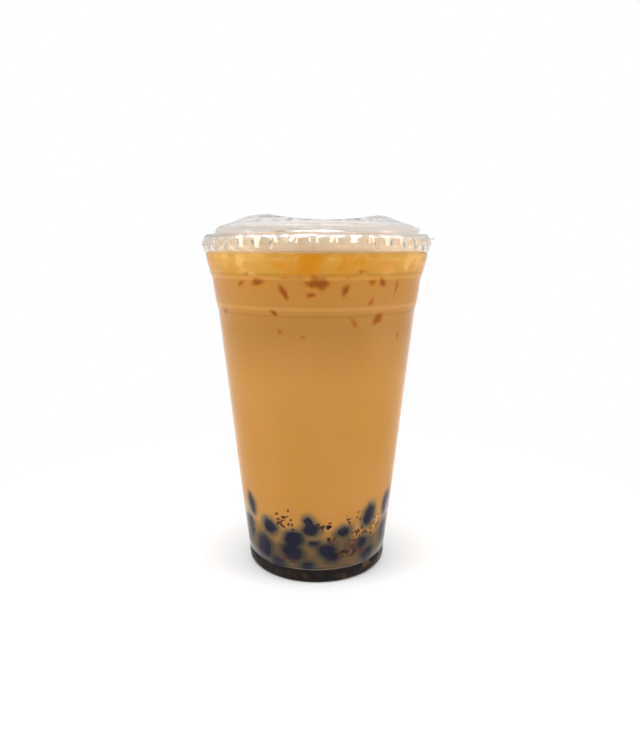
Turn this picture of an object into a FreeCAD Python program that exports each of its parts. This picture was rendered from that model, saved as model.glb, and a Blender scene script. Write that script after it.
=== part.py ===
"""Clear cold cup of milk tea with tapioca pearls, closed by a clear lid.

Millimetres, +Z up. The origin is the centre of the ring that the cup stands on.
The cup and the lid are thin formed shells, the tea fills the cup up to its level, and a
heap of pearls lies on the floor. Each is a separate solid with its own file in parts/.
"""
import FreeCAD, Part
import math
import os

import Sketcher

# name: (value, what it is). Lengths in millimetres, angles in degrees.
DIMENSIONS = {
    "wall": (0.6, "thickness of the formed cup wall"),
    "floor_height": (2.8, "underside of the floor above the standing ring"),
    "floor_radius": (28.0, "edge of the raised floor"),
    "foot_inner": (29.3, "inner edge of the standing ring"),
    "foot_outer": (31.0, "outer edge of the standing ring"),
    "heel_radius": (31.9, "heel above the standing ring"),
    "heel_height": (1.5, "top of the heel's slope"),
    "heel_top": (5.4, "top of the heel band"),
    "heel_groove": (31.55, "bottom of the groove above the heel"),
    "groove_height": (6.1, "height of that groove"),
    "lower_radius": (32.2, "lower wall at its bottom"),
    "lower_height": (6.9, "bottom of the lower wall"),
    "ring_radius": (34.25, "lower wall under the stacking ring"),
    "ring_height": (25.0, "bottom of the stacking ring"),
    "ring_step": (0.4, "how far the stacking ring steps out"),
    "ring_rise": (1.0, "height of that step"),
    "long_radius": (43.95, "long wall at its top"),
    "long_height": (117.4, "top of the long wall"),
    "shoulder_step": (0.85, "how far the middle shoulder steps out"),
    "shoulder_rise": (2.8, "height of that step"),
    "band_radius": (46.3, "band above the middle shoulder, at its top"),
    "band_height": (131.2, "top of that band"),
    "collar_step": (0.9, "how far the collar steps out"),
    "collar_rise": (2.5, "height of that step"),
    "collar_bend": (48.2, "collar where its flare eases"),
    "collar_bend_height": (137.9, "height of that bend"),
    "collar_radius": (48.9, "collar at its top"),
    "collar_height": (141.7, "top of the collar"),
    "neck_radius": (48.0, "neck between the collar and the rolled rim"),
    "neck_height": (142.1, "bottom of the neck"),
    "rim_radius": (0.8, "section radius of the rolled rim"),
    "rim_centre": (48.1, "middle of that section"),
    "rim_top": (149.0, "top of the rolled rim"),
    "heel_round": (1.0, "rounding of the heel"),
    "step_round": (0.8, "rounding of the steps in the wall"),
    "film": (0.45, "thickness of the formed lid"),
    "skirt_bottom_radius": (49.4, "lower edge of the lid's skirt"),
    "skirt_bottom": (142.3, "height of that edge"),
    "skirt_radius": (50.05, "widest part of the skirt"),
    "skirt_height": (145.6, "height of the widest part"),
    "skirt_top_radius": (49.4, "top of the skirt"),
    "skirt_top": (148.1, "height of the skirt's top"),
    "crest_outer": (48.75, "outer edge of the crest over the rim"),
    "crest_inner": (47.55, "inner edge of the crest"),
    "plug_outer": (46.8, "outer side of the plug groove"),
    "plug_inner": (45.7, "inner side of the plug groove"),
    "plug_height": (147.9, "bottom of the plug groove"),
    "plug_wall_radius": (43.6, "top of the plug's steep inner wall"),
    "plug_wall_top": (152.8, "height of that wall's top"),
    "crown_radius": (38.5, "foot of the crown"),
    "crown_foot": (154.3, "height of the crown's foot"),
    "crown_edge_radius": (31.5, "edge of the crown's top"),
    "crown_edge": (157.0, "height of that edge"),
    "crown_top_radius": (28.0, "flat of the crown's top"),
    "crown_top": (157.6, "top of the crown"),
    "crest_round": (0.55, "rounding of the crest"),
    "wall_round": (2.5, "rounding of the top of the plug's inner wall"),
    "valley_floor": (154.5, "lowest line of the valley across the crown"),
    "valley_curve": (95.0, "radius of the valley"),
    "valley_shift": (3.5, "how far the valley lies to the right"),
    "lug_count": (42, "lugs round the skirt"),
    "lug_turn": (-1.2, "how far the ring of lugs is turned"),
    "lug_width": (3.4, "width of a lug"),
    "lug_bottom": (144.7, "underside of a lug"),
    "lug_height": (2.1, "height of a lug"),
    "lug_inner": (48.75, "inner end of a lug, under the rolled rim"),
    "lug_outer": (50.2, "outer end of a lug"),
    "slit_length": (22.0, "length of each straw slit"),
    "slit_width": (0.6, "width of each straw slit"),
    "tab_inner": (48.95, "root of the pull tab"),
    "tab_outer": (52.0, "tip of the pull tab"),
    "tab_width": (8.0, "width of the pull tab"),
    "tab_bottom": (147.3, "underside of the pull tab"),
    "tab_thick": (0.9, "thickness of the pull tab"),
    "tea_level": (147.0, "surface of the tea, just under the rolled rim"),
    "pearl_diameter": (8.6, "tapioca pearl"),
    "pearl_count": (52, "pearls that stand out of the top of the heap"),
    "heap_height": (26.5, "mean height of those pearls' centres"),
    "heap_wave": (3.0, "how far the heap rises and falls"),
    "heap_ripple": (2.1, "step of the rise and fall from pearl to pearl, in radians"),
    "heap_reach": (33.2, "how far from the axis those pearls reach"),
}
GOLDEN_TURN = math.pi * (3 - math.sqrt(5))

# Outlines run as (distance from the axis, height). Each word is a cell of the sheet.
CUP_OUTLINE = [
    ("0", "floor_height"),
    ("floor_radius", "floor_height"),
    ("foot_inner", "0"),
    ("foot_outer", "0"),
    ("heel_radius", "heel_height"),
    ("heel_radius", "heel_top"),
    ("heel_groove", "groove_height"),
    ("lower_radius", "lower_height"),
    ("ring_radius", "ring_height"),
    ("ring_radius + ring_step", "ring_height + ring_rise"),
    ("long_radius", "long_height"),
    ("long_radius + shoulder_step", "long_height + shoulder_rise"),
    ("band_radius", "band_height"),
    ("band_radius + collar_step", "band_height + collar_rise"),
    ("collar_bend", "collar_bend_height"),
    ("collar_radius", "collar_height"),
    ("neck_radius", "neck_height"),
]
LID_OUTLINE = [
    ("0", "skirt_bottom"),
    ("skirt_bottom_radius", "skirt_bottom"),
    ("skirt_radius", "skirt_height"),
    ("skirt_top_radius", "skirt_top"),
    ("crest_outer", "rim_top + film"),
    ("crest_inner", "rim_top + film"),
    ("plug_outer", "plug_height"),
    ("plug_inner", "plug_height"),
    ("plug_wall_radius", "plug_wall_top"),
    ("crown_radius", "crown_foot"),
    ("crown_edge_radius", "crown_edge"),
    ("crown_top_radius", "crown_top"),
    ("0", "crown_top"),
]


def make_sheet(doc):
    """Spreadsheet with one row for each driving dimension."""
    sheet = doc.addObject("Spreadsheet::Sheet", "dims")
    for row, (name, (value, meaning)) in enumerate(DIMENSIONS.items(), start=1):
        sheet.set(f"A{row}", str(value))
        sheet.setAlias(f"A{row}", name)
        sheet.set(f"B{row}", meaning)
    doc.recompute()
    return sheet


def in_sheet(formula):
    """The formula with each of its words pointed at the sheet."""
    words = [f"dims.{word}" if word in DIMENSIONS else word for word in formula.split()]
    return " ".join(words)


def worth(sheet, formula):
    """The number that a formula of the sheet's words gives."""
    return float(sheet.evalExpression(in_sheet(formula)))


def bind(feature, **formulas):
    """Tie properties of a feature to the sheet."""
    for name, formula in formulas.items():
        feature.setExpression(name, in_sheet(formula))


def new_sketch(body, name, plane):
    """Empty sketch on one of the body's own origin planes."""
    sketch = body.newObject("Sketcher::SketchObject", name)
    support = [part for part in body.Origin.OriginFeatures if part.Role == plane]
    sketch.AttachmentSupport = [(support[0], "")]
    sketch.MapMode = "FlatFace"
    return sketch


def hold_point(sketch, edge, end, across, up):
    """Fix one end of an edge at formulas across and up from the sketch's origin."""
    name = f"{edge}_{end}"
    if across == "0":
        sketch.addConstraint(Sketcher.Constraint("PointOnObject", edge, end, -2))
    else:
        hold_distance(sketch, "DistanceX", f"across_{name}", edge, end, across)
    if up == "0":
        sketch.addConstraint(Sketcher.Constraint("PointOnObject", edge, end, -1))
    else:
        hold_distance(sketch, "DistanceY", f"up_{name}", edge, end, up)


def hold_distance(sketch, kind, name, edge, end, formula):
    """One named distance from the sketch's origin, driven by the sheet."""
    distance = worth(sketch.Document.dims, formula)
    index = sketch.addConstraint(Sketcher.Constraint(kind, -1, 1, edge, end, distance))
    sketch.renameConstraint(index, name)
    sketch.setExpression(f"Constraints.{name}", in_sheet(formula))


def add_outline(sketch, corners):
    """Closed outline of straight edges with every corner held by the sheet."""
    sheet = sketch.Document.dims
    first = sketch.GeometryCount
    points = [FreeCAD.Vector(worth(sheet, x), worth(sheet, y)) for x, y in corners]
    count = len(points)
    for number in range(count):
        sketch.addGeometry(Part.LineSegment(points[number], points[(number + 1) % count]))
    for number in range(count):
        after = first + (number + 1) % count
        sketch.addConstraint(Sketcher.Constraint("Coincident", first + number, 2, after, 1))
    for number, (across, up) in enumerate(corners):
        hold_point(sketch, first + number, 1, across, up)


def add_circle(sketch, across, up, radius):
    """Circle with its centre and its radius held by the sheet."""
    sheet = sketch.Document.dims
    centre = FreeCAD.Vector(worth(sheet, across), worth(sheet, up))
    size = worth(sheet, radius)
    edge = sketch.addGeometry(Part.Circle(centre, FreeCAD.Vector(0, 0, 1), size))
    hold_point(sketch, edge, 3, across, up)
    index = sketch.addConstraint(Sketcher.Constraint("Radius", edge, size))
    sketch.renameConstraint(index, f"radius_{edge}")
    sketch.setExpression(f"Constraints.radius_{edge}", in_sheet(radius))


def revolve(body, name, sketch):
    """Turn a sketch once round the body's axis."""
    turned = body.newObject("PartDesign::Revolution", name)
    turned.Profile = sketch
    turned.ReferenceAxis = (sketch, ["V_Axis"])
    turned.Angle = 360
    return turned


def flat_box(left, right, front, back):
    """Corners of a rectangle from four formulas."""
    return [(left, front), (right, front), (right, back), (left, back)]


def face_at(shape, height):
    """Name of the flat face that lies at one height."""
    for number, face in enumerate(shape.Faces, start=1):
        box = face.BoundBox
        if box.ZLength < 0.001 and abs(box.ZMax - height) < 0.001:
            return f"Face{number}"
    raise RuntimeError(f"no flat face at height {height}")


def rings_at(sheet, shape, corners):
    """Names of the circular edges that lie at the given corners of an outline."""
    places = [(worth(sheet, across), worth(sheet, up)) for across, up in corners]
    names = []
    for number, edge in enumerate(shape.Edges, start=1):
        if edge.Curve.TypeId != "Part::GeomCircle":
            continue
        ring = (edge.Curve.Radius, edge.Curve.Center.z)
        if any(math.dist(ring, place) < 0.01 for place in places):
            names.append(f"Edge{number}")
    return names


def round_rings(body, name, corners, radius):
    """Fillet the circular edges at the given corners of the body's outline."""
    body.Document.recompute()
    sheet = body.Document.dims
    base = body.Tip
    fillet = body.newObject("PartDesign::Fillet", name)
    fillet.Base = (base, rings_at(sheet, base.Shape, corners))
    bind(fillet, Radius=radius)
    return fillet


def hollow(body, name, open_height, thickness):
    """Shell the body inwards and leave the flat face at one height open."""
    body.Document.recompute()
    base = body.Tip
    shell = body.newObject("PartDesign::Thickness", name)
    shell.Base = (base, [face_at(base.Shape, worth(body.Document.dims, open_height))])
    shell.Reversed = True
    shell.Join = "Arc"
    shell.Intersection = True
    bind(shell, Value=thickness)
    return shell


def cup_form(doc, name, top):
    """The cup's outside as a full body up to the height top."""
    body = doc.addObject("PartDesign::Body", name)
    sketch = new_sketch(body, f"{name}_outline", "XZ_Plane")
    add_outline(sketch, CUP_OUTLINE + [("neck_radius", top), ("0", top)])
    revolve(body, f"{name}_turned", sketch)
    round_rings(body, f"{name}_heel", CUP_OUTLINE[3:5], "heel_round")
    round_rings(body, f"{name}_steps", CUP_OUTLINE[10:14], "step_round")
    return body


def make_cup(doc):
    """Formed cup: stepped wall, standing ring, raised floor, neck and rolled rim."""
    wall_top = "rim_top - rim_radius"
    body = cup_form(doc, "cup", wall_top)
    hollow(body, "cup_wall", wall_top, "wall")
    sketch = new_sketch(body, "rim_section", "XZ_Plane")
    add_circle(sketch, "rim_centre", wall_top, "rim_radius")
    revolve(body, "rolled_rim", sketch)
    return body


def make_lid(doc):
    """Formed lid: skirt with lugs, crest over the rim, plug, crown with a valley."""
    body = doc.addObject("PartDesign::Body", "lid")
    sketch = new_sketch(body, "lid_outline", "XZ_Plane")
    add_outline(sketch, LID_OUTLINE)
    revolve(body, "lid_turned", sketch)
    round_rings(body, "lid_crest", LID_OUTLINE[4:6], "crest_round")
    round_rings(body, "lid_shoulder", LID_OUTLINE[8:9], "wall_round")
    sink_valley(body)
    hollow(body, "lid_film", "skirt_bottom", "film")
    cut_slits(body)
    add_lugs(body)
    add_tab(body)
    return body


def sink_valley(body):
    """Round-bottomed valley from front to back, which leaves a lobe on each side."""
    sketch = new_sketch(body, "valley_section", "XZ_Plane")
    add_circle(sketch, "valley_shift", "valley_floor + valley_curve", "valley_curve")
    pocket = body.newObject("PartDesign::Pocket", "valley")
    pocket.Profile = sketch
    pocket.Midplane = True
    bind(pocket, Length="2 * skirt_radius")


def cut_slits(body):
    """Two crossed straw slits through the middle of the crown."""
    for name, across, deep in (("slit_wide", "slit_length", "slit_width"),
                               ("slit_deep", "slit_width", "slit_length")):
        sketch = new_sketch(body, f"{name}_outline", "XY_Plane")
        add_outline(sketch, flat_box(f"0 - {across} / 2", f"{across} / 2",
                                     f"0 - {deep} / 2", f"{deep} / 2"))
        pocket = body.newObject("PartDesign::Pocket", name)
        pocket.Profile = sketch
        pocket.Reversed = True
        pocket.Type = "ThroughAll"


def raised_pad(body, name, bottom, thick, corners):
    """Pad of the given outline, from one height upwards."""
    sketch = new_sketch(body, f"{name}_outline", "XY_Plane")
    add_outline(sketch, corners)
    sketch.setExpression("AttachmentOffset.Base.z", in_sheet(bottom))
    pad = body.newObject("PartDesign::Pad", name)
    pad.Profile = sketch
    bind(pad, Length=thick)
    return pad


def add_lugs(body):
    """Ring of lugs through the skirt, which catch under the rolled rim."""
    lug = raised_pad(body, "lug", "lug_bottom", "lug_height",
                     flat_box("lug_inner", "lug_outer", "0 - lug_width / 2", "lug_width / 2"))
    lug.Profile[0].setExpression("AttachmentOffset.Rotation.Angle", in_sheet("lug_turn"))
    ring = body.newObject("PartDesign::PolarPattern", "lugs")
    ring.Originals = [lug]
    axis = [part for part in body.Origin.OriginFeatures if part.Role == "Z_Axis"]
    ring.Axis = (axis[0], [""])
    ring.Angle = 360
    bind(ring, Occurrences="lug_count")
    body.Tip = ring


def add_tab(body):
    """Small pull tab on the right of the skirt."""
    raised_pad(body, "tab", "tab_bottom", "tab_thick",
               [("tab_inner", "0 - tab_width / 2"),
                ("tab_outer - tab_width / 4", "0 - tab_width / 2"),
                ("tab_outer", "0 - tab_width / 4"),
                ("tab_outer", "tab_width / 4"),
                ("tab_outer - tab_width / 4", "tab_width / 2"),
                ("tab_inner", "tab_width / 2")])


def cut(doc, name, base, tool):
    """Part::Cut of two objects."""
    result = doc.addObject("Part::Cut", name)
    result.Base = base
    result.Tool = tool
    return result


def make_contents(doc, cup):
    """All that the cup's hollow holds up to the tea's surface."""
    form = cup_form(doc, "filled_form", "tea_level")
    return cut(doc, "contents", form, cup)


def heap_core(doc):
    """Round block under the pearls that stand out of the heap."""
    core = doc.addObject("Part::Cylinder", "heap_core")
    bind(core, Radius="long_radius", Height="heap_height")
    return core


def heap_pearl(doc, number):
    """One pearl of the heap's top, on a sunflower spiral with an uneven rise and fall."""
    sheet = doc.dims
    turn = number * GOLDEN_TURN
    reach = sheet.heap_reach * math.sqrt((number + 0.5) / sheet.pearl_count)
    height = sheet.heap_height + sheet.heap_wave * math.sin(number * sheet.heap_ripple)
    pearl = doc.addObject("Part::Sphere", f"pearl_{number}")
    bind(pearl, Radius="pearl_diameter / 2")
    pearl.Placement.Base = FreeCAD.Vector(reach * math.cos(turn), reach * math.sin(turn), height)
    return pearl


def make_pearl_bed(doc, contents):
    """Heap of pearls out to its uneven top, pressed flat where it meets the cup."""
    heap = doc.addObject("Part::MultiFuse", "heap")
    heap.Shapes = [heap_core(doc)] + [heap_pearl(doc, n) for n in range(int(doc.dims.pearl_count))]
    bed = doc.addObject("Part::Common", "pearl_bed")
    bed.Base = contents
    bed.Tool = heap
    return bed


def check(doc, parts):
    """Stop on any failed object, and on any sub-part that isn't one valid solid."""
    for thing in doc.Objects:
        if "Invalid" in thing.State or "Error" in thing.State:
            raise RuntimeError(f"{thing.Name}: {thing.State}")
    for part in parts:
        shape = part.Shape
        if shape.isNull() or not shape.isValid() or len(shape.Solids) != 1:
            raise RuntimeError(f"{part.Label}: not one valid solid")
        print(part.Label, round(shape.Volume / 1000, 1), "ml", len(shape.Faces), "faces")


def main():
    doc = FreeCAD.newDocument("cup_of_tea")
    make_sheet(doc)
    cup = make_cup(doc)
    lid = make_lid(doc)
    contents = make_contents(doc, cup)
    bed = make_pearl_bed(doc, contents)
    tea = cut(doc, "tea", contents, bed)
    doc.recompute()
    parts = [cup, lid, tea, bed]
    check(doc, parts)
    os.makedirs("parts", exist_ok=True)
    for part in parts:
        part.Shape.exportStep(f"parts/{part.Label}.step")


main()
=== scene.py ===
"""Milk tea over tapioca pearls in a clear cold cup with a clear lid: the looks.

Metres, +Z up. The cup stands on z = 0 and its front faces -Y. A turn is an angle round
the cup in degrees, counted from the front, positive to the right. A lean is an angle in
degrees away from upright.
"""
import math
import random

import bpy
import numpy as np
from mathutils import Matrix, Vector, kdtree


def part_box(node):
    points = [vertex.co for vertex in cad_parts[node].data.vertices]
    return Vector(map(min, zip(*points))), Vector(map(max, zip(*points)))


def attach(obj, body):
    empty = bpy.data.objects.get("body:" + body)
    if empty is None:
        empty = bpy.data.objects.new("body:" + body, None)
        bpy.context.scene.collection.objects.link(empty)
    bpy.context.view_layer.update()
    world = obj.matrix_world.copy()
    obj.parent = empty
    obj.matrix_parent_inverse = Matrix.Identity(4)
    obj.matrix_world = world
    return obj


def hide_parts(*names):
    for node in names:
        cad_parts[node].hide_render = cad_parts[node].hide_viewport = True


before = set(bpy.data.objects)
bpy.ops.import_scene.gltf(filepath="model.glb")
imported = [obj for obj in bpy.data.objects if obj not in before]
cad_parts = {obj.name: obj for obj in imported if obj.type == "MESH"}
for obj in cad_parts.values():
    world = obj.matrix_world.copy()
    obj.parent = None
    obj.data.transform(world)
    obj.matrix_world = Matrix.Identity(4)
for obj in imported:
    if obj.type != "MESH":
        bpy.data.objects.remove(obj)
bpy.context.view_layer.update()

MM = 0.001
random.seed(24)

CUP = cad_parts["cup"]
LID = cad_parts["lid"]
TEA_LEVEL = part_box("tea")[1].z
FLOOR_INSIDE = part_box("pearl_bed")[0].z
HEAP_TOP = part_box("pearl_bed")[1].z
REACH = 0.3 * MM  # how far the tea and the pearls reach into the wall
MERGE_DISTANCE = 0.002 * MM
BESIDE_SEAM = 0.01 * MM  # rays pass this far beside the plane of the cup's seam

CAMERA_DISTANCE = 284.2 * MM
CAMERA_HEIGHT = 143.0 * MM
CAMERA_PITCH = 9.73
CAMERA_LENS = 30.92
CAMERA_SHIFT = (0.0047, -0.011)

# Faces of the pearls pressed to the wall in front: turn, height, width, length in mm, lean.
FRONT_PEARLS = [
    (-55, 32.4, 3.4, 7.2, -14), (-62, 20.6, 5.0, 9.6, 0), (-37, 24.9, 6.2, 5.6, 40),
    (-45, 13.6, 7.4, 11.0, 12), (-17, 21.0, 7.8, 6.6, -40), (-19, 14.6, 8.4, 6.6, 20),
    (-4, 26.2, 5.4, 5.0, 0), (-6, 29.8, 2.2, 3.2, -35), (-2, 19.2, 3.4, 1.6, 0),
    (-7, 8.4, 4.4, 3.0, 0), (-32, 7.6, 6.2, 4.4, 0), (8, 15.6, 7.0, 5.8, 30),
    (12, 12.4, 4.6, 4.0, 0), (20, 24.2, 5.0, 4.2, 0), (41, 29.6, 5.0, 8.6, 14),
    (63, 31.6, 5.0, 8.4, 8), (64, 18.0, 5.6, 8.6, 0), (44, 9.8, 5.6, 6.8, 10),
    (-74, 12.0, 7.0, 8.0, 0), (-76, 24.0, 6.0, 7.0, 20), (37, 16.6, 4.0, 4.6, 30),
]
FACE_TO_RADIUS = 0.62  # radius of a listed pearl for each millimetre of its face
BEHIND_FACE = 0.59  # share of that pearl's depth from its face to its centre
FRONT = 70  # within this turn, left and right, the drawn pearls stay behind the listed ones
PEARL_RADII = (3.9, 4.6)  # of the drawn pearls, in mm
CLOSEST = 0.88  # nearest that two pearls come, as a share of their radii together
WALL_TRIES = 6000
INNER_TRIES = 2500

# Bits of tea leaf in front: turn, height in mm, spread across and up, and number.
FRONT_CRUMBS = [
    (-25, 28.4, 7, 3.0, 30), (6, 27.3, 5, 1.6, 20), (20, 13.6, 5, 2.2, 18),
    (27, 15.0, 6, 3.2, 26), (31, 21.0, 4, 3.2, 18), (12, 19.8, 5, 1.8, 10),
    (36, 13.0, 5, 3.0, 18), (-22, 11.0, 8, 2.4, 14), (46, 22.0, 7, 4.0, 24),
    (-2, 19.4, 3, 0.8, 6), (24, 30.0, 8, 2.0, 8), (58, 24.0, 6, 4.0, 12),
]

# Marks where ice touches the wall in front: turn, height, width, length in mm, lean, share.
ICE_MARKS = [
    (-41, 129.9, 1.7, 5.4, 70, 0.8), (-30, 130.6, 3.8, 7.1, 80, 0.85),
    (-12, 132.2, 1.4, 12.1, 90, 0.6), (1, 130.6, 5.8, 10.2, 90, 0.95),
    (-16, 126.8, 3.0, 6.9, -28, 0.9), (-3, 126.2, 2.3, 4.3, 75, 0.9),
    (14, 127.6, 2.9, 6.2, 30, 0.95), (14, 132.2, 1.4, 3.0, 90, 0.6),
    (28, 130.8, 2.9, 6.0, 35, 0.75), (34, 130.6, 2.9, 5.8, -40, 0.75),
    (44, 128.2, 2.3, 8.6, 12, 0.65), (28, 122.8, 2.9, 5.4, 35, 0.65),
    (-60, 117.8, 2.9, 4.1, 60, 0.9), (-22, 118.8, 2.2, 4.1, -50, 0.9),
    (19, 115.4, 2.5, 5.8, -25, 0.7), (34, 116.0, 4.8, 6.9, 60, 0.9),
    (51, 108.5, 1.6, 3.9, 0, 0.9), (27, 140.6, 1.7, 2.2, 0, 0.45),
    (-7, 109.4, 1.9, 3.7, 60, 0.8), (-20, 111.6, 2.2, 3.5, -40, 0.7),
    (39, 122.0, 2.6, 6.0, -30, 0.35), (-52, 126.4, 1.4, 3.7, 20, 0.4),
    (22, 134.9, 2.2, 5.6, 90, 0.5), (-38, 133.6, 2.2, 7.6, 80, 0.5),
]
BACK_MARKS = 34

# Places in front where the tea turns amber: turn, height, width, length in mm, share.
FRONT_AMBER = [
    (0, 139.5, 7, 40, 1.0), (-4, 136.5, 6, 24, 0.9), (-14, 136.0, 6, 11, 0.6),
    (30, 137.5, 8, 24, 0.6), (-46, 135.0, 4, 14, 0.4), (8, 134.5, 4, 26, 0.6),
    (1, 130.8, 5, 13, 0.6), (-29, 130.8, 4, 11, 0.6), (31, 131.0, 4, 11, 0.5),
]
LEVEL = 90  # the lean of a place that runs level round the cup

# Painted shade and painted highlights: dark and light lines on the tea where the steps in the
# wall would shade it and catch the light: height, width in mm, share and colour.
STEP_SHADE_AND_HIGHLIGHT_LINES = [
    (133.6, 0.8, 0.34, (130, 80, 24)), (132.0, 0.8, 0.25, (222, 166, 88)),
    (120.3, 1.3, 0.25, (220, 168, 98)), (117.4, 0.9, 0.3, (126, 80, 30)),
    (141.9, 0.5, 0.5, (250, 216, 160)), (26.0, 0.5, 0.3, (220, 186, 138)),
]

# Ribs on the lid's inner wall: number, first turn, step and lean, then sizes and place.
RIB_COUNT, RIB_START, RIB_STEP, RIB_LEAN = 104, 8.0, 1.55, 26.0
RIB_SIZE = (0.45 * MM, 0.3 * MM, 3.4 * MM)
RIB_BEVEL = 0.09 * MM
RIB_RADIUS, RIB_HEIGHT = 44.75 * MM, 150.6 * MM


# ---------------------------------------------------------------- pieces and points


def select_only(piece):
    """Make one piece the only one selected."""
    bpy.ops.object.select_all(action="DESELECT")
    piece.select_set(True)
    bpy.context.view_layer.objects.active = piece


def edit_all():
    """Enter edit mode with all of the active piece selected."""
    bpy.ops.object.mode_set(mode="EDIT")
    bpy.ops.mesh.select_all(action="SELECT")


def leave_edit():
    """Go back to object mode."""
    bpy.ops.object.mode_set(mode="OBJECT")


def join(name, pieces):
    """One piece from several, with its place in its mesh."""
    select_only(pieces[0])
    for piece in pieces:
        piece.select_set(True)
    bpy.ops.object.join()
    bpy.ops.object.transform_apply(location=True, rotation=True, scale=True)
    joined = bpy.context.object
    joined.name = name
    joined.data.name = name
    return joined


def own_copy(master):
    """A copy of a piece, with a mesh of its own."""
    piece = master.copy()
    piece.data = master.data.copy()
    bpy.context.collection.objects.link(piece)
    return piece


def subdivide_once(piece, name):
    """Round a piece with one level of subdivision, and apply it."""
    select_only(piece)
    modifier = piece.modifiers.new(name, "SUBSURF")
    modifier.levels = modifier.render_levels = 1
    bpy.ops.object.modifier_apply(modifier=name)


def shade_smooth(piece, angle):
    """Smooth shading, with the edges sharper than the angle kept."""
    select_only(piece)
    bpy.ops.object.shade_smooth_by_angle(angle=math.radians(angle))


def points_of(piece):
    """The piece's points as rows of x, y and z."""
    flat = np.zeros(3 * len(piece.data.vertices))
    piece.data.vertices.foreach_get("co", flat)
    return flat.reshape(-1, 3)


def move_points(piece, points):
    """Put the piece's points at new places."""
    piece.data.vertices.foreach_set("co", points.ravel())
    piece.data.update()


def write_attribute(piece, name, values):
    """One number for each point, which a material can read."""
    attribute = piece.data.attributes.new(name, "FLOAT", "POINT")
    attribute.data.foreach_set("value", np.asarray(values, dtype=np.float32))


def met_by_ray(start, direction):
    """The first place where a ray meets the cup."""
    _, place, _, _ = CUP.ray_cast(Vector(start), Vector(direction))
    return place


def outside(height):
    """Radius of the cup's outside at a height."""
    place = met_by_ray((0.1, BESIDE_SEAM, height), (-1, 0, 0))
    return math.hypot(place.x, place.y)


def underside(radius):
    """Height of the cup's underside at a radius."""
    return met_by_ray((radius, BESIDE_SEAM, -0.01), (0, 0, 1)).z


def wall_thickness():
    """Thickness of the cup's wall half way up."""
    height = 0.5 * TEA_LEVEL
    return outside(height) - met_by_ray((0, BESIDE_SEAM, height), (1, 0, 0)).x


WALL = wall_thickness()
WALL_HEIGHTS = np.arange(0.8 * MM, TEA_LEVEL, 0.25 * MM)
WALL_RADII = np.array([outside(height) for height in WALL_HEIGHTS]) - WALL + REACH


def tea_radius(height):
    """Radius that the tea and the pearls reach to, just inside the wall."""
    return np.interp(height, WALL_HEIGHTS, WALL_RADII)


def around(turn, radius, height):
    """The point at a turn from the front."""
    angle = math.radians(turn)
    return Vector((radius * math.sin(angle), -radius * math.cos(angle), height))


def lathe(name, outline, steps):
    """A round piece: the outline is extruded point by point, then spun round the axis."""
    bpy.ops.object.select_all(action="DESELECT")
    bpy.ops.mesh.primitive_plane_add(size=MM)
    piece = bpy.context.object
    piece.name = name
    piece.data.name = name
    edit_all()
    bpy.ops.mesh.merge(type="CENTER")
    radius, height = outline[0]
    bpy.ops.transform.translate(value=(radius, 0, height))
    for next_radius, next_height in outline[1:]:
        step = (next_radius - radius, 0, next_height - height)
        bpy.ops.mesh.extrude_region_move(TRANSFORM_OT_translate={"value": step})
        radius, height = next_radius, next_height
    bpy.ops.mesh.select_all(action="SELECT")
    bpy.ops.mesh.spin(steps=steps, angle=2 * math.pi, center=(0, 0, 0), axis=(0, 0, 1))
    bpy.ops.mesh.select_all(action="SELECT")
    bpy.ops.mesh.remove_doubles(threshold=MERGE_DISTANCE)
    bpy.ops.mesh.normals_make_consistent(inside=False)
    leave_edit()
    return piece


def dress(piece, material, slot, *nodes):
    """Give a piece its material and its body, and hide the CAD nodes that it stands for. The
    slot is not used.
    """
    piece.data.materials.clear()
    piece.data.materials.append(material)
    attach(piece, "root")
    if nodes:
        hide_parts(*nodes)


# ---------------------------------------------------------------- finishes


def seen(red, green, blue):
    """A colour given as it looks, 0 to 255, as the values that a shader takes."""
    shares = [channel / 255 for channel in (red, green, blue)]
    linear = [c / 12.92 if c <= 0.04045 else ((c + 0.055) / 1.055) ** 2.4 for c in shares]
    return (*linear, 1.0)


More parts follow.
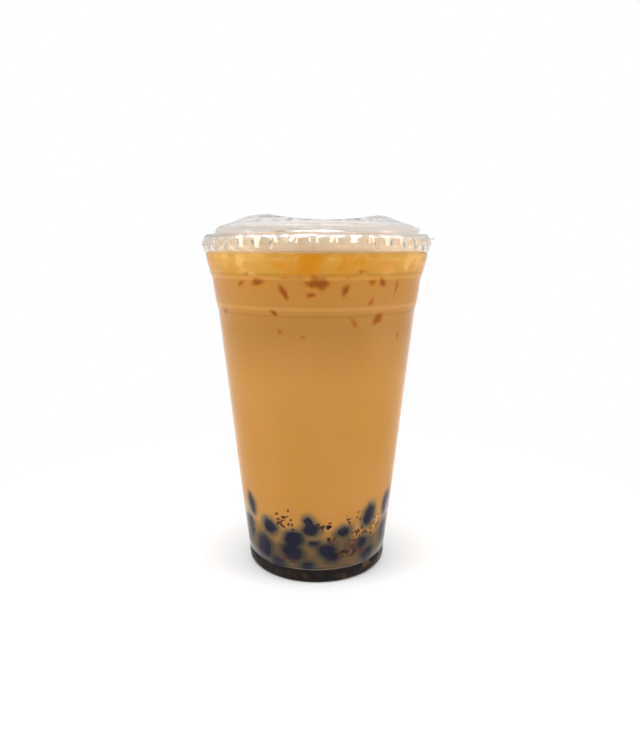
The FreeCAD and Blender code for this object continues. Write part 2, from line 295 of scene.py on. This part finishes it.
class Finish:
    """A material whose shader is one Principled node, with helpers that add to it."""

    def __init__(self, name, **sockets):
        self.material = bpy.data.materials.new(name)
        self.material.use_nodes = True
        self.nodes = self.material.node_tree.nodes
        self.links = self.material.node_tree.links
        self.shader = self.nodes["Principled BSDF"]
        for socket, value in sockets.items():
            self.shader.inputs[socket.replace("_", " ")].default_value = value

    def add(self, kind, **settings):
        """A node of a kind, with its properties set."""
        node = self.nodes.new(kind)
        for name, value in settings.items():
            setattr(node, name, value)
        return node

    def link(self, output, target):
        """Join an output to an input, or set the input to a plain value."""
        if isinstance(output, bpy.types.NodeSocket):
            self.links.new(output, target)
        else:
            target.default_value = output

    def place(self):
        """Each point's place on the object."""
        return self.add("ShaderNodeTexCoord").outputs["Object"]

    def attribute(self, name):
        """The number that a piece's points carry under a name."""
        return self.add("ShaderNodeAttribute", attribute_name=name).outputs["Fac"]

    def height(self):
        """Height above the table."""
        split = self.add("ShaderNodeSeparateXYZ")
        self.link(self.place(), split.inputs[0])
        return split.outputs["Z"]

    def noise(self, size, detail=2.0, stretch=(1, 1, 1)):
        """Noise from 0 to 1 whose blots are about the given size."""
        scaled = self.add("ShaderNodeMapping")
        self.link(stretch, scaled.inputs["Scale"])
        self.link(self.place(), scaled.inputs["Vector"])
        texture = self.add("ShaderNodeTexNoise")
        self.link(1 / size, texture.inputs["Scale"])
        self.link(detail, texture.inputs["Detail"])
        self.link(scaled.outputs["Vector"], texture.inputs["Vector"])
        return texture.outputs["Fac"]

    def arithmetic(self, operation, first, second=0):
        """The outcome of a sum on one or two numbers."""
        node = self.add("ShaderNodeMath", operation=operation)
        self.link(first, node.inputs[0])
        self.link(second, node.inputs[1])
        return node.outputs[0]

    def spread(self, value, low, high, start=0.0, end=1.0):
        """The value, mapped smoothly from low to high onto start to end, and held there."""
        node = self.add("ShaderNodeMapRange", interpolation_type="SMOOTHSTEP")
        self.link(value, node.inputs["Value"])
        for name, bound in zip(("From Min", "From Max", "To Min", "To Max"),
                               (low, high, start, end)):
            self.link(bound, node.inputs[name])
        return node.outputs["Result"]

    def line(self, centre, width, share):
        """The share at a height, falling to 0 at a width above and below it."""
        away = self.arithmetic("ABSOLUTE", self.arithmetic("SUBTRACT", self.height(), centre))
        return self.spread(away, 0.0, width, share, 0.0)

    def ramp(self, value, stops):
        """A colour for the value, between stops of (position, colour as it looks)."""
        node = self.add("ShaderNodeValToRGB")
        elements = node.color_ramp.elements
        while len(elements) < len(stops):
            elements.new(1.0)
        for element, (position, colour) in zip(elements, stops):
            element.position = position
            element.color = seen(*colour)
        self.link(value, node.inputs["Fac"])
        return node.outputs["Color"]

    def blend(self, share, first, colour):
        """The first colour, turning into the one given as it looks as the share goes to 1."""
        return self.mix(share, first, seen(*colour))

    def mix(self, share, first, second):
        """The first colour, turning into the second as the share goes to 1."""
        node = self.add("ShaderNodeMix", data_type="RGBA")
        self.link(share, node.inputs["Factor"])
        self.link(first, node.inputs["A"])
        self.link(second, node.inputs["B"])
        return node.outputs["Result"]

    def bump(self, value, depth):
        """Small relief from a number, at a depth in metres."""
        node = self.add("ShaderNodeBump")
        self.link(depth, node.inputs["Distance"])
        self.link(value, node.inputs["Height"])
        self.link(node.outputs["Normal"], self.shader.inputs["Normal"])

    def colour(self, value):
        """Link the base colour."""
        self.link(value, self.shader.inputs["Base Color"])


def milky_with_painted_lid_sheen(finish):
    """The tea's colour: a shade by height, turning pale just under the level as a painted
    sheen of the lid, with faint clouds, and cream at the top.
    """
    # Painted light: the last stops turn the tea pale peach just under its level, standing in
    # for the milky glow and reflections of the lid around it.
    tea = finish.ramp(finish.arithmetic("DIVIDE", finish.height(), TEA_LEVEL), [
        (0.00, (184, 130, 62)), (0.22, (184, 129, 54)), (0.60, (183, 130, 55)),
        (0.76, (166, 116, 46)), (0.82, (175, 122, 50)), (0.893, (178, 122, 48)),
        (0.906, (188, 138, 50)), (0.965, (208, 156, 68)), (0.98, (250, 208, 142)),
        (1.00, (255, 224, 166)),
    ])
    cloud = finish.spread(finish.noise(28 * MM, 3.0, (1, 1, 0.6)), 0.35, 0.7, 0.0, 0.25)
    tea = finish.blend(cloud, tea, (196, 142, 82))
    tea = finish.blend(finish.attribute("surface"), tea, (186, 132, 58))
    swirl = finish.spread(finish.noise(8 * MM, 3.0), 0.46, 0.62, 0.0, 0.5)
    above_collar = finish.spread(finish.height(), 132.6 * MM, 134.0 * MM)
    cream = finish.arithmetic("MULTIPLY", swirl, above_collar)
    return finish.blend(cream, tea, (232, 184, 110))


def iced(finish, tea, ragged):
    """Amber where ice is near, and brown marks where it touches the wall."""
    patches = finish.spread(finish.noise(8 * MM, 3.0), 0.36, 0.58, 0.3, 1.0)
    amber = finish.arithmetic("MULTIPLY", finish.attribute("amber"), patches)
    tea = finish.blend(amber, tea, (194, 124, 0))
    edge = finish.spread(ragged, 0.3, 0.7, -0.3, 0.1)
    mark = finish.arithmetic("ADD", finish.attribute("ice_mark"), edge)
    tea = finish.blend(finish.spread(mark, 0.1, 0.5, 0.0, 0.75), tea, (166, 92, 0))
    return finish.blend(finish.spread(mark, 0.3, 0.85, 0.0, 0.8), tea, (128, 58, 0))


def shaded_by_pearls(finish, tea, ragged):
    """Dark where a pearl comes near the wall, and murky low down, where many lie behind."""
    edge = finish.spread(ragged, 0.25, 0.75, -0.35, 0.35)
    gap = finish.arithmetic("ADD", finish.attribute("pearl_gap"), edge)
    shade = finish.ramp(finish.arithmetic("DIVIDE", gap, 8.0), [
        (0.00, (16, 18, 38)), (0.02, (40, 36, 44)), (0.06, (84, 72, 56)),
        (0.16, (118, 96, 62)), (0.34, (158, 115, 60)), (0.55, (182, 129, 54)),
    ])
    tea = finish.mix(finish.spread(gap, 1.2, 4.2, 1.0, 0.0), tea, shade)
    wave = finish.spread(finish.noise(9 * MM, 2.0), 0.3, 0.7, -4 * MM, 4 * MM)
    uneven = finish.arithmetic("ADD", finish.height(), wave)
    murk = finish.spread(uneven, 13 * MM, 30 * MM, 0.76, 0.0)
    return finish.blend(murk, tea, (50, 48, 44))


def with_dregs_and_groove_highlight(finish, tea):
    """Dark dregs behind the heel band, under a painted highlight along its groove."""
    dregs = finish.ramp(finish.noise(5 * MM, 2.0), [
        (0.44, (2, 2, 5)), (0.52, (12, 6, 8)), (0.58, (28, 16, 12)), (0.65, (84, 60, 32)),
    ])
    tea = finish.mix(finish.spread(finish.height(), 5.8 * MM, 6.6 * MM, 0.97, 0.0), tea, dregs)
    # Painted highlight: a pale line along the groove.
    return finish.blend(finish.line(6.3 * MM, 0.3 * MM, 0.5), tea, (200, 190, 176))


def tea_finish():
    """Milky tea, seen through the wall of the cup."""
    finish = Finish("milk_tea", Roughness=0.4, Specular_IOR_Level=0.1)
    ragged = finish.noise(2.6 * MM, 3.0)
    tea = iced(finish, milky_with_painted_lid_sheen(finish), ragged)
    # Painted shade and painted highlights where the wall's steps would shade the tea and catch
    # the light.
    for centre, width, share, colour in STEP_SHADE_AND_HIGHLIGHT_LINES:
        tea = finish.blend(finish.line(centre * MM, width * MM, share), tea, colour)
    tea = shaded_by_pearls(finish, tea, ragged)
    finish.colour(with_dregs_and_groove_highlight(finish, tea))
    return finish.material


def pearl_finish():
    """Cooked tapioca: almost black, with a trace of brown where it is thin."""
    finish = Finish("tapioca", Roughness=0.4, Specular_IOR_Level=0.08)
    finish.colour(finish.ramp(finish.noise(4 * MM, 3.0), [
        (0.35, (16, 18, 38)), (0.55, (24, 22, 42)), (0.72, (52, 36, 42)),
    ]))
    finish.bump(finish.noise(1.1 * MM, 2.0), 0.08 * MM)
    return finish.material


def crumb_finish():
    """Wet tea leaf, dark brown."""
    finish = Finish("leaf_crumbs", Roughness=0.6, Specular_IOR_Level=0.1)
    finish.colour(finish.ramp(finish.noise(5 * MM, 2.0), [
        (0.35, (34, 18, 20)), (0.65, (84, 46, 32)),
    ]))
    return finish.material


def ice_finish():
    """Clear wet ice with cloudy veins."""
    finish = Finish("ice", Roughness=0.1, IOR=1.2, Transmission_Weight=0.8)
    finish.colour(finish.ramp(finish.noise(7 * MM, 3.0), [
        (0.35, (246, 214, 166)), (0.65, (253, 236, 204)),
    ]))
    finish.bump(finish.noise(5 * MM, 2.0), 0.3 * MM)
    return finish.material


def clear_plastic(name, **sockets):
    """Clear formed plastic with a faint ripple."""
    finish = Finish(name, **sockets)
    finish.bump(finish.noise(16 * MM, 1.0, (1, 1, 0.25)), 0.12 * MM)
    return finish


def cup_finish():
    """Clear plastic of the cup."""
    return clear_plastic("clear_cup", Base_Color=seen(255, 255, 254), Roughness=0.03,
                         IOR=1.15, Transmission_Weight=1.0).material


def lid_finish():
    """Clear plastic of the lid: slightly milky and glossy, with a painted warm glow below its
    crown, where light from the tea falls on it.
    """
    finish = clear_plastic("clear_lid", Roughness=0.05, IOR=1.13, Transmission_Weight=0.93,
                           Coat_Weight=1.0, Coat_Roughness=0.03)
    sheet = finish.ramp(finish.noise(20 * MM, 1.0), [
        (0.3, (254, 254, 254)), (0.7, (255, 255, 255)),
    ])
    # Painted light: a warm glow from the tea on the lower lid.
    low = finish.spread(finish.height(), 151 * MM, 155.5 * MM, 1.0, 0.0)
    finish.colour(finish.blend(low, sheet, (255, 253, 250)))
    return finish.material


# ---------------------------------------------------------------- pearls and crumbs


def overlaps(place, radius, placed):
    """True if a pearl would sink deep into one already placed."""
    return any((place - other).length < CLOSEST * (radius + sum(sizes) / 3)
               for other, sizes, _, _ in placed)


def front_pearls():
    """Pearls in front, each with a face of the listed size pressed to the wall."""
    placed = []
    for turn, height, width, length, lean in FRONT_PEARLS:
        deep = 3.9 * MM if width > 4 else 0.6 * width * MM
        sizes = (FACE_TO_RADIUS * width * MM, deep, FACE_TO_RADIUS * length * MM)
        centre = around(turn, tea_radius(height * MM) - BEHIND_FACE * deep, height * MM)
        placed.append((centre, sizes, turn, lean))
    return placed


def wall_pearls(placed):
    """Pearls at the wall round the cup, or a few millimetres behind it, as in front."""
    placed = list(placed)
    for _ in range(WALL_TRIES):
        turn = random.uniform(-180, 180)
        radius = random.uniform(*PEARL_RADII) * MM
        height = random.uniform(FLOOR_INSIDE + radius, HEAP_TOP - radius * 0.7)
        behind = random.choice((0.0, 0.0, 0.0, 1.2, 2.4)) * MM
        if abs(turn) < FRONT:
            behind = random.uniform(1.6, 3.4) * MM
            height -= 0.45 * (height - FLOOR_INSIDE - radius)
        centre = tea_radius(height) - radius * random.uniform(0.62, 0.9) - behind
        place = around(turn, centre, height)
        if not overlaps(place, radius, placed):
            sizes = tuple(radius * random.uniform(0.88, 1.1) for _ in range(3))
            placed.append((place, sizes, turn, random.uniform(-90, 90)))
    return placed


def inner_pearls(placed):
    """Pearls over and under the heap's core."""
    inner = []
    for _ in range(INNER_TRIES):
        radius = random.uniform(*PEARL_RADII) * MM
        reach = 26 * MM * math.sqrt(random.random())
        low = random.random() < 0.5
        height = FLOOR_INSIDE + (4.6 if low else 19 + random.uniform(-2, 3)) * MM
        turn = random.uniform(-180, 180)
        place = around(turn, reach, height)
        if not overlaps(place, radius, placed + inner):
            inner.append((place, (radius, radius, radius), turn, random.uniform(-90, 90)))
    return inner


def lumpy_ball(divisions, roughness, seed):
    """A ball of radius 1 with soft lumps."""
    bpy.ops.object.select_all(action="DESELECT")
    bpy.ops.mesh.primitive_ico_sphere_add(subdivisions=2, radius=1)
    ball = bpy.context.object
    edit_all()
    bpy.ops.transform.vertex_random(offset=roughness, seed=seed)
    if divisions:
        bpy.ops.mesh.subdivide(number_cuts=divisions, smoothness=1.0)
    bpy.ops.mesh.vertices_smooth(factor=0.5, repeat=2)
    leave_edit()
    return ball


def scatter(masters, placed):
    """Copies of the masters in turn, each with its own size, turn and lean."""
    copies = []
    for number, (place, sizes, turn, lean) in enumerate(placed):
        piece = own_copy(masters[number % len(masters)])
        piece.matrix_world = (Matrix.Translation(place)
                              @ Matrix.Rotation(math.radians(turn), 4, "Z")
                              @ Matrix.Rotation(math.radians(lean), 4, "Y")
                              @ Matrix.Diagonal((*sizes, 1)))
        copies.append(piece)
    for master in masters:
        bpy.data.objects.remove(master)
    return copies


def press_in(piece, depth):
    """Flatten what would stand out of the wall or the floor, up to a depth into the wall."""
    points = points_of(piece)
    radii = np.hypot(points[:, 0], points[:, 1])
    most = tea_radius(points[:, 2]) + depth
    scale = np.minimum(1, most / np.maximum(radii, 1e-9))
    points[:, 0] *= scale
    points[:, 1] *= scale
    lowest = FLOOR_INSIDE + 2.2 * MM
    points[:, 2] = np.where(radii < 28 * MM, np.maximum(points[:, 2], lowest), points[:, 2])
    move_points(piece, points)


def make_pearls():
    """The pearls that show, and the smaller core that they lie on."""
    at_wall = wall_pearls(front_pearls())
    inside = inner_pearls(at_wall)
    copies = scatter([lumpy_ball(2, 0.16, seed) for seed in (1, 2, 3)], at_wall)
    copies += scatter([lumpy_ball(0, 0.1, 4)], inside)
    pearls = join("tapioca_pearls", copies)
    press_in(pearls, 0.06 * MM)
    shade_smooth(pearls, 60)
    material = pearl_finish()
    dress(pearls, material, "tapioca", "pearl_bed")
    core = lathe("pearl_core", [(0, 6 * MM), (20 * MM, 6 * MM), (23 * MM, 9 * MM),
                                (23 * MM, 16 * MM), (19 * MM, 19 * MM), (0, 20 * MM)], 48)
    subdivide_once(core, "lumps")
    shade_smooth(core, 60)
    dress(core, material, "tapioca")
    return at_wall + inside


def back_crumbs():
    """Groups of crumbs round the sides and the back, like those in front."""
    return [(turn, random.uniform(12, 29), random.uniform(4, 9), random.uniform(1.5, 4),
             random.randint(8, 16)) for turn in range(76, 290, 18)]


def make_crumbs():
    """Bits of tea leaf that lie against the wall between the pearls."""
    placed = []
    for turn, height, across, up, number in FRONT_CRUMBS + back_crumbs():
        for _ in range(number):
            sizes = [random.uniform(0.4, 1.05) * MM for _ in range(3)]
            own_turn = random.gauss(turn, 0.7 * across)
            own_height = random.gauss(height, 0.7 * up) * MM
            place = around(own_turn, tea_radius(own_height) - 0.1 * MM, own_height)
            placed.append((place, sizes, own_turn, random.uniform(-90, 90)))
    masters = [lumpy_ball(0, 0.4, seed) for seed in (8, 9)]
    crumbs = join("leaf_crumbs", scatter(masters, placed))
    press_in(crumbs, 0.05 * MM)
    shade_smooth(crumbs, 60)
    dress(crumbs, crumb_finish(), "tapioca")


# ---------------------------------------------------------------- tea and ice


def tea_outline():
    """Half section of the tea, from the floor's middle to the middle of its surface."""
    lift = WALL - REACH
    floor = [0, 7, 14, 20, 24, 27, 28.2, 28.8, 29.4, 30.1, 30.8]
    outline = [(radius * MM, underside(max(radius, 0.01) * MM) + lift) for radius in floor]
    zones = [(1.1, 38, 0.75), (38, 102, 4.0), (102, 1000 * TEA_LEVEL - 0.3, 0.85)]
    for low, high, step in zones:
        outline += [(float(tea_radius(h * MM)), h * MM) for h in np.arange(low, high, step)]
    edge = float(tea_radius(TEA_LEVEL))
    outline += [(edge, TEA_LEVEL + 0.3 * MM), (edge - 0.8 * MM, TEA_LEVEL)]
    outline += [(edge * share, TEA_LEVEL) for share in np.linspace(0.96, 0, 24)]
    return outline


def gap_to(point, pearl):
    """About how far a point is from the outside of one pearl."""
    place, sizes, turn, lean = pearl
    away = (Matrix.Rotation(math.radians(-lean), 3, "Y")
            @ Matrix.Rotation(math.radians(-turn), 3, "Z")
            @ (Vector(point) - place))
    reach = Vector([distance / size for distance, size in zip(away, sizes)]).length
    return away.length * (1 - 1 / max(reach, 0.01))


def pearl_gaps(points, pearls):
    """Millimetres of tea between each point and the nearest pearl."""
    tree = kdtree.KDTree(len(pearls))
    for number, (place, _, _, _) in enumerate(pearls):
        tree.insert(place, number)
    tree.balance()
    gaps = []
    for point in points:
        near = tree.find_n(point, 4)
        gaps.append(min(gap_to(point, pearls[number]) for _, number, _ in near))
    return np.maximum(np.array(gaps) / MM, 0)


def spot(points, turn, height, width, length, lean):
    """1 at a long spot on the wall, falling to 0 round it."""
    turns = np.degrees(np.arctan2(points[:, 0], -points[:, 1]))
    away = (turns - turn + 180) % 360 - 180
    across = np.radians(away) * np.hypot(points[:, 0], points[:, 1]) / MM
    up = points[:, 2] / MM - height
    slope = math.radians(lean)
    along = up * math.cos(slope) + across * math.sin(slope)
    beside = across * math.cos(slope) - up * math.sin(slope)
    return np.exp(-((2 * beside / width) ** 2 + (2 * along / length) ** 2) ** 1.5)


def back_marks():
    """Ice marks round the sides and the back, like those in front."""
    marks = []
    for _ in range(BACK_MARKS):
        turn = random.uniform(66, 294)
        height = random.choice((random.gauss(129, 3.5), random.gauss(129, 3.5),
                                random.gauss(117, 5)))
        width = random.uniform(1.0, 2.4)
        marks.append((turn, height, width, width * random.uniform(1.4, 3.4),
                      random.uniform(-80, 80), random.uniform(0.45, 0.95)))
    return marks


def back_amber():
    """Amber places round the sides and the back, like those in front."""
    return [(turn + random.uniform(-10, 10), random.uniform(134.5, 138.5),
             random.uniform(5, 10), random.uniform(16, 38), random.uniform(0.4, 0.9))
            for turn in (75, 118, 160, 205, 250, 290)]


def make_tea(pearls):
    """The tea, with what its finish reads: pearls near the wall, ice marks, amber."""
    tea = lathe("milk_tea", tea_outline(), 288)
    points = points_of(tea)
    write_attribute(tea, "pearl_gap", pearl_gaps(points, pearls))
    radii = np.hypot(points[:, 0], points[:, 1])
    inside = radii < tea_radius(points[:, 2]) - 0.5 * MM
    write_attribute(tea, "surface", inside & (points[:, 2] > TEA_LEVEL - MM))
    marks = [share * spot(points, *mark) for *mark, share in ICE_MARKS + back_marks()]
    write_attribute(tea, "ice_mark", np.max(marks, axis=0))
    amber = sum(share * spot(points, *place, LEVEL)
                for *place, share in FRONT_AMBER + back_amber())
    write_attribute(tea, "amber", np.clip(amber, 0, 1))
    shade_smooth(tea, 40)
    dress(tea, tea_finish(), "milk_tea", "tea")


def make_ice():
    """Ice cubes just under the surface, some with their tops out of the tea."""
    cubes = []
    places = [(0, 0, 0.2)]
    places += [(60 * number + 12, 26 * MM, random.uniform(-1.5, 1.5)) for number in range(6)]
    for turn, reach, rise in places:
        bpy.ops.object.select_all(action="DESELECT")
        bpy.ops.mesh.primitive_cube_add(size=1)
        cube = bpy.context.object
        edit_all()
        bpy.ops.mesh.subdivide(number_cuts=3)
        bpy.ops.transform.vertex_random(offset=0.03, seed=len(cubes))
        bpy.ops.mesh.vertices_smooth(factor=0.6, repeat=3)
        leave_edit()
        cube.scale = [random.uniform(20, 24) * MM for _ in range(3)]
        cube.rotation_euler = [random.uniform(-0.35, 0.35), random.uniform(-0.35, 0.35),
                               random.uniform(0, 1.5)]
        cube.location = around(turn, reach, TEA_LEVEL - 7.5 * MM + rise * MM)
        cubes.append(cube)
    ice = join("ice_cubes", cubes)
    subdivide_once(ice, "rounded")
    shade_smooth(ice, 60)
    dress(ice, ice_finish(), "milk_tea")


# ---------------------------------------------------------------- cup and lid


def smooth_copy(node, name):
    """A copy of a CAD node with its points merged and its curves shaded smooth."""
    piece = bpy.data.objects.new(name, node.data.copy())
    bpy.context.collection.objects.link(piece)
    select_only(piece)
    edit_all()
    bpy.ops.mesh.remove_doubles(threshold=MERGE_DISTANCE)
    leave_edit()
    shade_smooth(piece, 32)
    return piece


def make_ribs(material):
    """Fine upright ribs on the right half of the lid's inner wall."""
    bpy.ops.object.select_all(action="DESELECT")
    bpy.ops.mesh.primitive_cube_add(size=1)
    rib = bpy.context.object
    rib.scale = RIB_SIZE
    bpy.ops.object.transform_apply(scale=True)
    edit_all()
    bpy.ops.mesh.bevel(offset=RIB_BEVEL, segments=1)
    leave_edit()
    lean = Matrix.Rotation(math.radians(RIB_LEAN), 4, "X")
    copies = []
    for number in range(RIB_COUNT):
        piece = own_copy(rib)
        turn = RIB_START + number * RIB_STEP
        piece.matrix_world = (Matrix.Translation(around(turn, RIB_RADIUS, RIB_HEIGHT))
                              @ Matrix.Rotation(math.radians(turn), 4, "Z") @ lean)
        copies.append(piece)
    bpy.data.objects.remove(rib)
    dress(join("lid_ribs", copies), material, "lid_plastic")


def make_cup_and_lid():
    """The clear cup and lid, from the CAD solids."""
    dress(smooth_copy(CUP, "clear_cup"), cup_finish(), "cup_plastic", "cup")
    clear_lid = lid_finish()
    dress(smooth_copy(LID, "clear_lid"), clear_lid, "lid_plastic", "lid")
    make_ribs(clear_lid)


# ---------------------------------------------------------------- studio


def make_floor():
    """Plain pale floor that fades to white away from the cup."""
    bpy.ops.object.select_all(action="DESELECT")
    bpy.ops.mesh.primitive_circle_add(vertices=96, radius=3, fill_type="NGON")
    floor = bpy.context.object
    floor.name = "floor"
    finish = Finish("floor", Base_Color=seen(246, 246, 246), Roughness=0.9,
                    Specular_IOR_Level=0.0)
    away = finish.add("ShaderNodeVectorMath", operation="LENGTH")
    finish.link(finish.place(), away.inputs[0])
    far = finish.spread(away.outputs["Value"], 0.07, 0.22)
    looked_at = finish.add("ShaderNodeLightPath").outputs["Is Camera Ray"]
    white = finish.add("ShaderNodeEmission")
    mix = finish.add("ShaderNodeMixShader")
    finish.link(finish.arithmetic("MULTIPLY", far, looked_at), mix.inputs[0])
    finish.link(finish.shader.outputs[0], mix.inputs[1])
    finish.link(white.outputs[0], mix.inputs[2])
    finish.link(mix.outputs[0], finish.nodes["Material Output"].inputs["Surface"])
    floor.data.materials.append(finish.material)


def make_world():
    """White surroundings to the eye, and as light a pale room, brighter overhead."""
    world = bpy.data.worlds.new("studio")
    bpy.context.scene.world = world
    world.use_nodes = True
    nodes, links = world.node_tree.nodes, world.node_tree.links
    room = nodes["Background"]
    split = nodes.new("ShaderNodeSeparateXYZ")
    links.new(nodes.new("ShaderNodeTexCoord").outputs["Generated"], split.inputs[0])
    rise = nodes.new("ShaderNodeMapRange")
    for name, bound in zip(("From Min", "From Max", "To Min", "To Max"),
                           (-0.1, 0.9, 0.55, 1.12)):
        rise.inputs[name].default_value = bound
    links.new(split.outputs["Z"], rise.inputs["Value"])
    links.new(rise.outputs["Result"], room.inputs["Strength"])
    white = nodes.new("ShaderNodeBackground")
    for background in (room, white):
        background.inputs["Color"].default_value = (1, 1, 1, 1)
    mix = nodes.new("ShaderNodeMixShader")
    links.new(nodes.new("ShaderNodeLightPath").outputs["Is Camera Ray"], mix.inputs[0])
    links.new(room.outputs[0], mix.inputs[1])
    links.new(white.outputs[0], mix.inputs[2])
    links.new(mix.outputs[0], nodes["World Output"].inputs["Surface"])


def softbox(name, place, size, watts):
    """A square lamp that looks at the middle of the cup."""
    middle = Vector((0, 0, 0.09))
    bpy.ops.object.select_all(action="DESELECT")
    bpy.ops.object.light_add(type="AREA", location=place)
    lamp = bpy.context.object
    lamp.name = name
    lamp.data.size = size
    lamp.data.energy = watts
    lamp.rotation_euler = (middle - Vector(place)).to_track_quat("-Z", "Y").to_euler()
    return lamp


def make_lamps():
    """Soft light from both sides and above, and a wide glint in the clear plastic."""
    softbox("left_softbox", (-0.75, -0.25, 0.4), 0.5, 3.6)
    softbox("right_softbox", (0.75, -0.2, 0.4), 0.5, 3.2)
    softbox("top_softbox", (0.0, 0.1, 0.85), 0.5, 1.2)
    glint = softbox("glint_softbox", (0, -0.66, 0.72), 1.9, 22)
    glint.data.shape = "RECTANGLE"
    glint.data.size_y = 0.28
    glint.visible_diffuse = False
    glint.visible_transmission = False


def make_camera():
    """Camera a little above the rim, looking slightly down."""
    data = bpy.data.cameras.new("camera")
    camera = bpy.data.objects.new("camera", data)
    bpy.context.scene.collection.objects.link(camera)
    camera.location = (0, -CAMERA_DISTANCE, CAMERA_HEIGHT)
    camera.rotation_euler = (math.radians(90 - CAMERA_PITCH), 0, 0)
    data.lens = CAMERA_LENS
    data.sensor_width = 36
    data.shift_x, data.shift_y = CAMERA_SHIFT
    data.clip_start = 10 * MM
    bpy.context.scene.camera = camera


make_camera()
make_floor()
make_world()
make_lamps()
make_tea(make_pearls())
make_crumbs()
make_ice()
make_cup_and_lid()
bpy.context.scene.view_settings.view_transform = "Standard"
